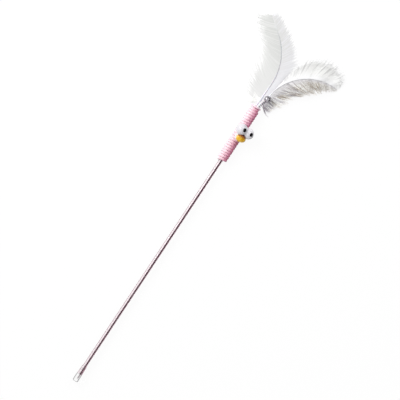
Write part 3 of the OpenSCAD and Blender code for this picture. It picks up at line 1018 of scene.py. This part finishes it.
# %% Quills and shafts
def stalk_tree():
    tree, n, size = geometry_tree("stalk", [
        ("Sides", "Int", 16),
        ("Material", "Material", None),
    ])
    line = n.put("GeometryNodeMeshToCurve", {}, {"Mesh": size["Geometry"]})
    level = n.put("GeometryNodeSetCurveNormal", {"mode": "Z_UP"}, {"Curve": line})
    circle = n.put("GeometryNodeCurvePrimitiveCircle", {},
                   {"Resolution": size["Sides"], "Radius": 1})
    end_tree(n, swept(n, level, circle, n.named("thick")), size["Material"])
    return tree


def horn(name, base, tip):
    """Horn: pale and a little clear, cloudy, and of other tones towards its tip."""
    finish = Finish(name, base, roughness=0.3, coat_weight=0.2, subsurface_weight=0.1,
                    subsurface_scale=0.5 * MM)
    n = finish.nodes
    way = finish.attribute("along")
    body = n.mix(way.between(0.1, 0.45), base, tip)
    body = n.mix(way.between(0.72, 0.92), body, tone(222, 222, 223))
    cloud = finish.spots(2 * MM, spread=0.2)
    finish.set("Base Color", n.mix(cloud * 0.25, body, tone(250, 250, 252)))
    finish.grain(1500, 0.03 * MM)
    return finish


def stalk(name, feather, start, end, rings, finish):
    """Part of a feather's shaft, between two places on its line."""
    mesh = bpy.data.meshes.new(name + "_line")
    steps = [start + (end - start) * i / (rings - 1) for i in range(rings)]
    mesh.from_pydata([feather.place(s) * MM for s in steps],
                     [(i, i + 1) for i in range(rings - 1)], [])
    for label, values in (("thick", [feather.thick(s) * MM for s in steps]),
                          ("along", [clamp(s / feather.length) for s in steps])):
        mesh.attributes.new(label, "FLOAT", "POINT").data.foreach_set("value", values)
    return grow(name, mesh, stalk_grower, material=finish.material)


QUILL_IN_PLUG = 7.9
BARE_QUILL = 7
QUILL_RINGS = 40
SHAFT_RINGS = 120
stalk_grower = stalk_tree()
for label, feather, body, colours in (
        ("flight", flight, "flight_feather", (tone(220, 218, 230), tone(172, 172, 178))),
        ("plume", plume, "plume", (tone(236, 234, 239), tone(250, 249, 249)))):
    finish = horn(label + " horn", *colours)
    quill = stalk(label + "_bare_quill", feather, -QUILL_IN_PLUG, BARE_QUILL, QUILL_RINGS,
                  finish)
    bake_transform(quill)
    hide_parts(label + "_quill")
    shaft = stalk(label + "_rachis", feather, BARE_QUILL, feather.length, SHAFT_RINGS,
                  finish)
    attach(shaft, body)
    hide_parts(label + "_shaft")

# %% [markdown]
# The barbs of one side grow from a row of points along the shaft. Each point
# carries what its barb needs: how far it reaches, how it slants towards the tip,
# how far the feather swells there, and the directions out and ahead.


# %% Row of roots along a shaft
STATIONS = 120
ROOT_DEPTH_SHARE = 0.6


def root_row(name, feather, side, start, end, reach, slant, swell):
    """Points along one side of a shaft. reach, slant and swell are functions of place."""
    steps = [start + (end - start) * i / (STATIONS - 1) for i in range(STATIONS)]
    mesh = bpy.data.meshes.new(name)
    outs = [side * feather.left(s) for s in steps]
    roots = [(feather.place(s) + feather.thick(s) * ROOT_DEPTH_SHARE * o) * MM
             for s, o in zip(steps, outs)]
    mesh.from_pydata(roots, [(i, i + 1) for i in range(STATIONS - 1)], [])
    numbers = {
        "reach": [reach(s) * MM for s in steps],
        "slant": [slant(s) for s in steps],
        "swell": [swell(s) * MM for s in steps],
    }
    for label, values in numbers.items():
        mesh.attributes.new(label, "FLOAT", "POINT").data.foreach_set("value", values)
    for label, ways in (("out", outs), ("ahead", [feather.ahead(s) for s in steps])):
        flat = [c for way in ways for c in way]
        mesh.attributes.new(label, "FLOAT_VECTOR", "POINT").data.foreach_set("vector", flat)
    return mesh


print("a row of roots has", STATIONS, "points")

# %% [markdown]
# The tree sets a barb on each of many roots along that row. Barbs cling together in
# locks, so some values are drawn for each barb and some for each lock. Each barb has
# its own height in the swell of the feather, where a lay power above 1 brings more
# of them to the top. Every noise is shifted by the seed, so no two rows are alike.

# %% Roots with their values
LOCK_WANDER = 2
LOCK_NOISE_SHARE = 0.4
LOCK_SHIFT = 2.9
CLUMP_SHIFT = 7.3
MOSTLY_SHORTER = 1.4


def barb_roots(n, size):
    """Roots along the row, with the random values of each barb and of its lock."""

    def lot(number, of=None):
        """A random value from 0 to 1 for each root, or for each lock."""
        inputs = {"Seed": size["Seed"] * 10 + number}
        if of is not None:
            inputs["ID"] = of
        return n.put("FunctionNodeRandomValue", {"data_type": "FLOAT"}, inputs, out=1)

    row = n.put("GeometryNodeMeshToCurve", {}, {"Mesh": size["Geometry"]})
    roots = n.put("GeometryNodeResampleCurve", {}, {"Curve": row, "Count": size["Barbs"]})
    along = n.way()
    clump_place = n.vector(along * size["Clump scale"], size["Seed"] * CLUMP_SHIFT)
    clump = n.noise(clump_place, 1.0, 3.0) - 0.5
    uneven_place = n.vector(along * size["Locks"] * LOCK_NOISE_SHARE,
                            size["Seed"] * LOCK_SHIFT)
    uneven = n.noise(uneven_place, 1.0) - 0.5
    lock_place = along * size["Locks"] + uneven * LOCK_WANDER
    lock = lock_place.math("FLOOR")
    to_middle = (lock + 0.5 - lock_place) / size["Locks"] * size["Row length"]
    held = n.store(roots, "root", n.position(), "FLOAT_VECTOR")
    held = n.store(held, "tint", lot(1))
    held = n.store(held, "lay", 1 - 2 * (1 - lot(2)) ** size["Lay power"])
    trim = 1 + size["Ragged"] * (lot(3) + lot(4, lock) - MOSTLY_SHORTER)
    held = n.store(held, "trim", trim)
    held = n.store(held, "lean", clump * size["Clump"])
    held = n.store(held, "pull", to_middle * size["Pull"])
    held = n.store(held, "lock", lot(5, lock))
    return n.store(held, "along", along)


print("a lock's edge strays by at most", LOCK_WANDER / 2, "of its width either way")

# %% [markdown]
# A formula takes each barb out from its root and forward by its slant, bows it, lets
# it droop and gives it a small wave. The tips of a lock are drawn to its middle,
# which opens gaps between one lock and the next. Nothing may lie below the table's
# top, so what does is lifted to it.

# %% Places of the points of a barb
WAVE_HEIGHT_SHARE = 0.4
WAVE_SCALE = 3.0
WAVE_SHIFT = 3.1
BARB_SHIFT = 50.0


def barb_places(n, size, share):
    """Where each point of a barb goes. share runs from 0 at its root to 1 at its tip."""
    reach = n.named("reach")
    way = share * n.named("trim")
    outward = way * reach
    bowed = size["Bow"] * (way * way - way)
    forward = outward * (n.named("slant") + way * n.named("lean")) + reach * bowed
    forward = forward + way * way * n.named("pull")
    crown = (1 - share * share).math("SQRT") * n.named("swell") * n.named("lay")
    rise = crown - size["Droop"] * way * way
    wave_place = n.vector(share * WAVE_SCALE, n.named("tint") * BARB_SHIFT,
                          size["Seed"] * WAVE_SHIFT)
    wave = n.put("ShaderNodeTexNoise", {}, {"Vector": wave_place, "Scale": 1.0, "Detail": 1.0},
                 out="Color").plus((-0.5, -0.5, -0.5))
    strayed = wave.times(size["Wave"] * share * reach)
    flattened = n.vector(strayed.part(0), strayed.part(1),
                         strayed.part(2) * WAVE_HEIGHT_SHARE)
    place = n.named("root", "FLOAT_VECTOR").plus(n.named("out", "FLOAT_VECTOR").times(outward))
    place = place.plus(n.named("ahead", "FLOAT_VECTOR").times(forward))
    return place.plus(n.vector(0, 0, rise)).plus(flattened)


def above_table(n, size, geometry):
    """Lifts what lies under the table's top up to it."""
    spot = n.position()
    height = spot.part(2).math("MAXIMUM", size["Floor"])
    return n.move(geometry, n.vector(spot.part(0), spot.part(1), height))


print("a wave is", WAVE_HEIGHT_SHARE, "times as high as it is wide")

# %% [markdown]
# Every barb is a thin flat strand that tapers to its tip, with four sides and few
# rings, because there are thousands of them. The strands aren't shaded smooth: on
# something so flat that draws dark lines along them.


# %% Tree that grows the barbs
def barb_tree():
    tree, n, size = geometry_tree("barbs", [
        ("Barbs", "Int", 300),
        ("Rings", "Int", 12),
        ("Width", "Float", 0.5 * MM),
        ("Flatness", "Float", 0.3),
        ("Taper", "Float", 0.8),
        ("Droop", "Float", 0.0),
        ("Bow", "Float", 0.2),
        ("Ragged", "Float", 0.05),
        ("Clump", "Float", 0.1),
        ("Clump scale", "Float", 5.0),
        ("Locks", "Float", 40.0),
        ("Pull", "Float", 0.0),
        ("Row length", "Float", 0.1),
        ("Wave", "Float", 0.0),
        ("Lay power", "Float", 1.0),
        ("Seed", "Int", 1),
        ("Floor", "Float", floor_z),
        ("Material", "Material", None),
    ])
    barb = straight_line(n, size["Rings"])
    many = n.put("GeometryNodeInstanceOnPoints", {},
                 {"Points": barb_roots(n, size), "Instance": barb})
    real = n.put("GeometryNodeRealizeInstances", {}, {"Geometry": many})
    share = n.way()
    marked = n.store(real, "share", share)
    shaped = n.move(marked, barb_places(n, size, share))
    level = n.put("GeometryNodeSetCurveNormal", {"mode": "Z_UP"}, {"Curve": shaped})
    thickness = size["Width"] * (1 - share * share * size["Taper"])
    circle = n.put("GeometryNodeCurvePrimitiveCircle", {}, {"Resolution": 4, "Radius": 0.5})
    squeezed = n.put("GeometryNodeTransform", {},
                     {"Geometry": circle, "Scale": n.vector(1, size["Flatness"], 1)})
    strands = swept(n, level, squeezed, thickness)
    end_tree(n, above_table(n, size, strands), size["Material"], smooth=False)
    return tree


barbs = barb_tree()
print("barb tree:", len(barbs.nodes), "nodes")

# %% [markdown]
# The outlines of the feathers are tables of shares: how long the barbs are at each
# part of the shaft, against the longest. The barbs sweep forward more and more
# along the first part of the shaft. A tuft of down is a short row of even barbs.

# %% Outlines
BARB_START = 8.6
DOWN_START = 7.3
DOWN_END = 11.5
SWEEP_SHARE = 0.2
FLIGHT_SWEEP = 35
PLUME_SWEEP = 38
FLIGHT_LEFT_W = 29
FLIGHT_RIGHT_W = 20
PLUME_LEFT_W = 24
PLUME_RIGHT_W = 25
VANE_SWELL = 0.1
PLUME_SWELL = 3.3
FLIGHT_LEFT_SHARES = [(0.07, 0.62), (0.14, 0.86), (0.2, 1), (0.3, 0.91), (0.46, 0.87),
                      (0.63, 0.8), (0.82, 0.7), (0.9, 0.68), (0.96, 0.55), (1, 0.25)]
FLIGHT_RIGHT_SHARES = [(0.07, 0.3), (0.17, 0.75), (0.3, 0.93), (0.43, 1), (0.52, 0.84),
                       (0.63, 0.74), (0.82, 0.6), (0.92, 0.5), (0.97, 0.28), (1, 0.08)]
PLUME_LEFT_SHARES = [(0.07, 0.02), (0.28, 0.03), (0.36, 0.16), (0.42, 0.4), (0.5, 0.72),
                     (0.57, 0.88), (0.68, 1), (0.8, 0.95), (0.9, 0.7), (0.96, 0.38), (1, 0.1)]
PLUME_RIGHT_SHARES = [(0.07, 0.56), (0.15, 0.76), (0.27, 0.98), (0.35, 1), (0.45, 0.91),
                      (0.6, 0.71), (0.75, 0.5), (0.88, 0.3), (0.96, 0.15), (1, 0.06)]
PLUME_SWELL_SHARES = [(0.07, 0.16), (0.18, 0.18), (0.38, 0.9), (0.55, 1), (0.8, 0.95),
                      (0.92, 0.6), (1, 0.15)]


def outline(feather, shares, size):
    """A length that changes along the shaft as the shares say."""
    return lambda s: size * between_rows(shares, s / feather.length, clamp)


def sweep(feather, full):
    """A slant that grows from none to the full angle, which is in degrees."""
    return lambda s: math.tan(math.radians(full) * smooth(
        (s - BARB_START) / feather.length / SWEEP_SHARE))


def vane_shape(shares, widest):
    """Reach, slant and swell of one side of the flight feather."""
    return outline(flight, shares, widest), sweep(flight, FLIGHT_SWEEP), lambda s: VANE_SWELL


def plume_shape(shares, widest):
    """Reach, slant and swell of one side of the plume."""
    return (outline(plume, shares, widest), sweep(plume, PLUME_SWEEP),
            outline(plume, PLUME_SWELL_SHARES, PLUME_SWELL))


def down_shape(reach, back, fore, swell):
    """The same of a tuft of down, whose slant runs evenly from back to fore."""
    def slant(s):
        return back + (fore - back) * (s - DOWN_START) / (DOWN_END - DOWN_START)

    return lambda s: reach, slant, lambda s: swell


print("widest barbs, left and right, in mm:", (FLIGHT_LEFT_W, FLIGHT_RIGHT_W), "and",
      (PLUME_LEFT_W, PLUME_RIGHT_W))

# %% [markdown]
# White is rarely one white. The vane is clean white at its foot and greyer towards its tip,
# with locks of painted shade. The plume's left barbs are bright with a few grey locks of
# painted shade. Its right barbs are beige and mauve grey, partly their own tone and partly
# painted shade on that side, with single bright strands, and turn white at its end.


# %% Finishes of the feathers
def barb_finish(name, foot, tip, edge, lock_shade_tone, lock_share, strand_tone, strand_share,
                crown=None, far=None):
    """From foot to tip of the feather, with grey locks of painted shade and single strands of
    other tones.

    crown is the tone next to the shaft and far the one at the feather's end, where
    those are unlike the rest."""
    finish = Finish(name, foot, roughness=0.75, sheen_weight=0.3, sheen_roughness=0.5)
    n = finish.nodes
    out = finish.attribute("share")
    body = n.mix(finish.attribute("along").between(0.02, 0.7), foot, tip)
    # Grey locks of painted shade on the outer part of the barbs.
    locks = 1 - finish.attribute("lock").between(lock_share - 0.08, lock_share + 0.02)
    body = n.mix(locks * out.between(0.25, 0.6), body, lock_shade_tone)
    strands = 1 - finish.attribute("tint").between(strand_share - 0.03, strand_share)
    body = n.mix(strands, body, strand_tone)
    if far:
        body = n.mix(finish.attribute("along").between(0.72, 0.92), body, far)
    if crown:
        body = n.mix(1 - out.between(0.0, 0.45), body, crown)
    finish.set("Base Color", n.mix(out.between(0.75, 1.0), body, edge))
    return finish


flight_left_finish = barb_finish(
    "vane, left", tone(221, 221, 220), tone(206, 207, 205), tone(230, 230, 229),
    tone(214, 215, 213), 0.3, tone(219, 219, 218), 0.2)
flight_right_finish = barb_finish(
    "vane, right", tone(230, 229, 234), tone(213, 213, 212), tone(228, 228, 229),
    tone(221, 221, 224), 0.3, tone(227, 227, 230), 0.2)
plume_left_finish = barb_finish(
    "plume, left", tone(232, 231, 235), tone(236, 236, 234), tone(240, 240, 240),
    tone(216, 216, 215), 0.22, tone(244, 244, 243), 0.2, crown=tone(243, 243, 244),
    far=tone(252, 252, 251))
# The right barbs' beige and mauve grey are partly their own tone and partly painted shade on
# that side of the plume.
plume_right_finish = barb_finish(
    "plume, right", tone(188, 184, 191), tone(208, 201, 191), tone(232, 228, 222),
    tone(190, 179, 166), 0.35, tone(255, 255, 252), 0.4, crown=tone(232, 230, 232),
    far=tone(240, 238, 235))
# The down is mauve grey, partly its own tone and partly painted shade at the plume's foot.
plume_fluff_finish = barb_finish(
    "plume, down", tone(196, 190, 197), tone(214, 209, 215), tone(226, 222, 227),
    tone(172, 163, 173), 0.35, tone(240, 236, 241), 0.15)
flight_fluff_finish = barb_finish(
    "flight feather, down", tone(246, 247, 244), tone(252, 252, 250), tone(255, 255, 254),
    tone(238, 240, 235), 0.3, tone(255, 255, 255), 0.2)
print("finishes for six rows of barbs")

# %% [markdown]
# All six rows come from the one tree. The vane's barbs are wide, flat and even. The
# plume's are narrower, wavy and ragged, and swell above and below the shaft: on its
# left they lie close, mostly on top, and on its right they part and cross. The
# tufts of down at the feathers' feet have thin barbs that fan out.

# %% Barbs of both feathers
LEFT = 1
RIGHT = -1


def barb_piece(name, feather, side, ends, shape, finish, body, node, slot, **sizes):
    """Grows one side's barbs and puts them in the place of their solid."""
    row = root_row(name + "_roots", feather, side, *ends, *shape)
    piece = grow(name, row, barbs, material=finish.material,
                 row_length=(ends[1] - ends[0]) * MM, **sizes)
    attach(piece, body)
    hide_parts(node)


vane_sizes = {"barbs": 600, "rings": 14, "width": 0.8 * MM, "flatness": 0.15, "taper": 0.7,
              "droop": 1.45 * MM, "bow": 0.22, "ragged": 0.3, "clump": 0.03,
              "clump_scale": 9.0, "locks": 260.0, "pull": 0.0, "wave": 0.008}
vane_ends = (BARB_START, flight.length)
barb_piece("flight_vane_left", flight, LEFT, vane_ends,
           vane_shape(FLIGHT_LEFT_SHARES, FLIGHT_LEFT_W), flight_left_finish,
           "flight_feather", "flight_left_vane", "vane_white", seed=1, **vane_sizes)
barb_piece("flight_vane_right", flight, RIGHT, vane_ends,
           vane_shape(FLIGHT_RIGHT_SHARES, FLIGHT_RIGHT_W), flight_right_finish,
           "flight_feather", "flight_right_vane", "vane_white", seed=2, **vane_sizes)

plume_sizes = {"rings": 12, "taper": 0.6, "bow": 0.2, "ragged": 0.28, "clump_scale": 12.0}
plume_ends = (BARB_START, plume.length)
barb_piece("plume_barbs_left", plume, LEFT, plume_ends,
           plume_shape(PLUME_LEFT_SHARES, PLUME_LEFT_W), plume_left_finish,
           "plume", "plume_left_barbs", "plume_white",
           seed=3, barbs=1500, width=0.55 * MM, flatness=0.2, clump=0.15, locks=120.0,
           pull=0.45, wave=0.06, lay_power=3.5, **plume_sizes)
barb_piece("plume_barbs_right", plume, RIGHT, plume_ends,
           plume_shape(PLUME_RIGHT_SHARES, PLUME_RIGHT_W), plume_right_finish,
           "plume", "plume_right_barbs", "plume_grey",
           seed=4, barbs=1100, width=0.4 * MM, flatness=0.3, clump=0.4, locks=60.0,
           pull=0.8, wave=0.3, lay_power=1.5, **plume_sizes)

down_sizes = {"barbs": 260, "rings": 12, "width": 0.3 * MM, "flatness": 0.5, "taper": 0.7,
              "droop": 1.5 * MM, "bow": 0.25, "ragged": 0.45, "clump": 0.5,
              "clump_scale": 6.0, "locks": 14.0, "pull": 0.3, "wave": 0.4}
down_ends = (DOWN_START, DOWN_END)
barb_piece("flight_down_tuft", flight, LEFT, down_ends,
           down_shape(reach=14, back=-0.75, fore=0.2, swell=0.5), flight_fluff_finish,
           "flight_feather", "flight_down", "vane_white", seed=5, **down_sizes)
barb_piece("plume_down_tuft", plume, RIGHT, down_ends,
           down_shape(reach=15, back=-0.4, fore=1.0, swell=0.6), plume_fluff_finish,
           "plume", "plume_down", "plume_grey", seed=6, **down_sizes)

# %% [markdown]
